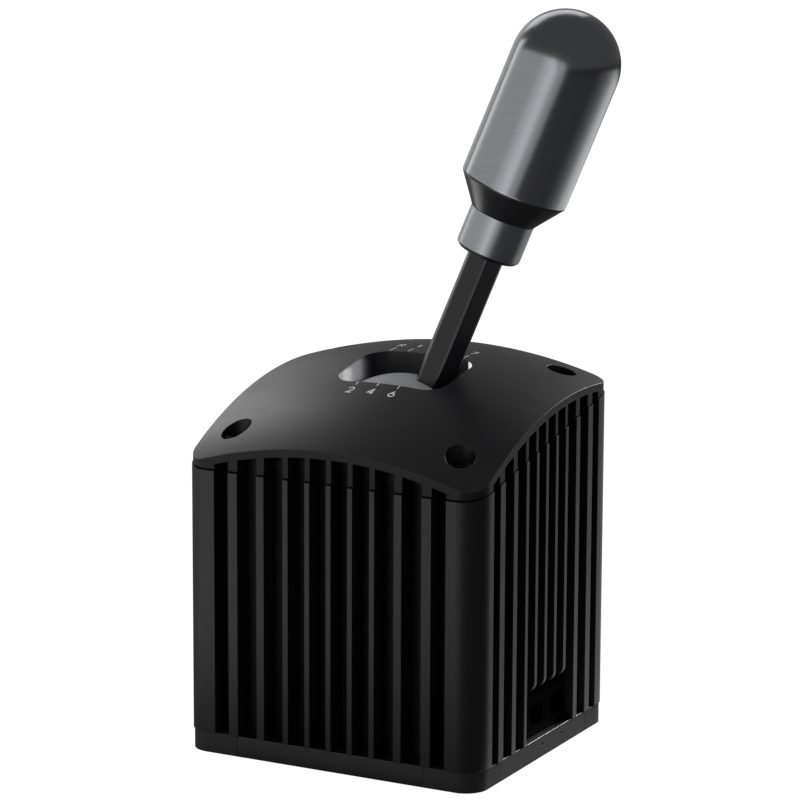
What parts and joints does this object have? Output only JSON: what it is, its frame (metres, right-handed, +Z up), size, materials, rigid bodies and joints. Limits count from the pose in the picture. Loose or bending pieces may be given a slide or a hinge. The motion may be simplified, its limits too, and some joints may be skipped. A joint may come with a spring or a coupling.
{
  "type": "sim racing gear shifter",
  "caption": "H-pattern gear shifter for driving games: finned black base with a sloped domed cover, hexagonal lever leaning right, metal collar and capsule-shaped knob",
  "frame": {"origin": "middle of the flat underside of the base", "axes": "+Z up, -Y towards the driver, +X to the right, where the cable window is"},
  "size_m": [0.1356, 0.11, 0.2715],
  "materials": {
    "body_black": "black anodised, fine matte",
    "cover_black": "black moulded plastic, satin",
    "base_black": "black anodised, fine matte",
    "foot_rubber": "black elastomer",
    "black_screw": "black oxide",
    "steel": "ground",
    "dark_steel": "hardened, dark",
    "aluminium": "machined",
    "bronze": "sintered bronze",
    "brass": "turned",
    "board_green": "solder mask",
    "chip_black": "moulded",
    "socket_black": "moulded",
    "gold_contact": "gold flash",
    "shield_grey": "grey moulded plastic, satin",
    "rod_black": "black anodised, satin",
    "collar_gunmetal": "gunmetal anodised, satin",
    "knob_gunmetal": "gunmetal anodised, smooth",
    "knob_gloss_black": "polished black",
    "magnet": "nickel plated"
  },
  "bodies": {
    "housing": {"finned_housing": "body_black", "top_cover": "cover_black", "cover_screws": "black_screw", "base_plate": "base_black", "corner_feet": "foot_rubber", "base_screws": "black_screw", "left_side_plate": "aluminium", "right_side_plate": "aluminium", "frame_screws": "black_screw", "tie_bars": "steel", "tie_screws": "black_screw", "trunnion_bushes": "bronze", "gate_plate": "steel", "shift_plunger_body": "brass", "plunger_lock_nut": "steel", "shift_plunger_spring": "steel", "port_panel": "socket_black", "panel_screws": "black_screw", "link_socket_front": "socket_black", "link_socket_rear": "socket_black", "socket_contacts": "gold_contact", "sensor_board": "board_green", "hall_sensors": "chip_black", "control_chip": "chip_black", "board_standoffs": "brass", "board_screws": "steel"},
    "cradle": {"shift_cradle": "aluminium", "trunnion_pins": "steel", "shift_detent_sector": "dark_steel", "sector_screws": "steel", "lane_pin": "steel", "lane_pin_clips": "dark_steel", "lane_thrust_washers": "bronze", "lane_plunger_body": "brass", "lane_plunger_spring": "steel"},
    "lever": {"lever_hub": "aluminium", "lane_bushes": "bronze", "lane_detent_plate": "dark_steel", "detent_plate_screws": "steel", "lever_rod": "rod_black", "rod_cross_pin": "steel", "dust_shield": "shield_grey", "shield_grub_screw": "steel", "gate_pin": "steel", "magnet_cup": "dark_steel", "tail_magnet": "magnet", "knob_collar": "collar_gunmetal", "collar_grub_screw": "black_screw", "knob_base": "knob_gloss_black", "knob_insert": "brass", "knob_body": "knob_gunmetal"},
    "shift_plunger": {"shift_plunger_pin": "steel"},
    "lane_plunger": {"lane_plunger_pin": "steel"}
  },
  "joints": [
    {"name": "shift", "type": "hinge", "parent": "housing", "child": "cradle", "pos_m": [0, 0, 0.10285], "axis": [1, 0, 0], "range_deg": [-9, 9]},
    {"name": "lane_select", "type": "hinge", "parent": "cradle", "child": "lever", "pos_m": [0, 0, 0.10285], "axis": [0, 0.9917, -0.1288], "range_deg": [-40.72, 0]},
    {"name": "shift_detent", "type": "slide", "parent": "housing", "child": "shift_plunger", "axis": [0, 0.1288, 0.9917], "range_m": [0, 0.00125], "stiffness_N_per_m": 1500, "springref_m": 0.004, "deforming": ["shift_plunger_spring"]},
    {"name": "lane_detent", "type": "slide", "parent": "cradle", "child": "lane_plunger", "axis": [1, 0, 0], "range_m": [0, 0.0012], "stiffness_N_per_m": 800, "springref_m": 0.003, "deforming": ["lane_plunger_spring"]}
  ]
}
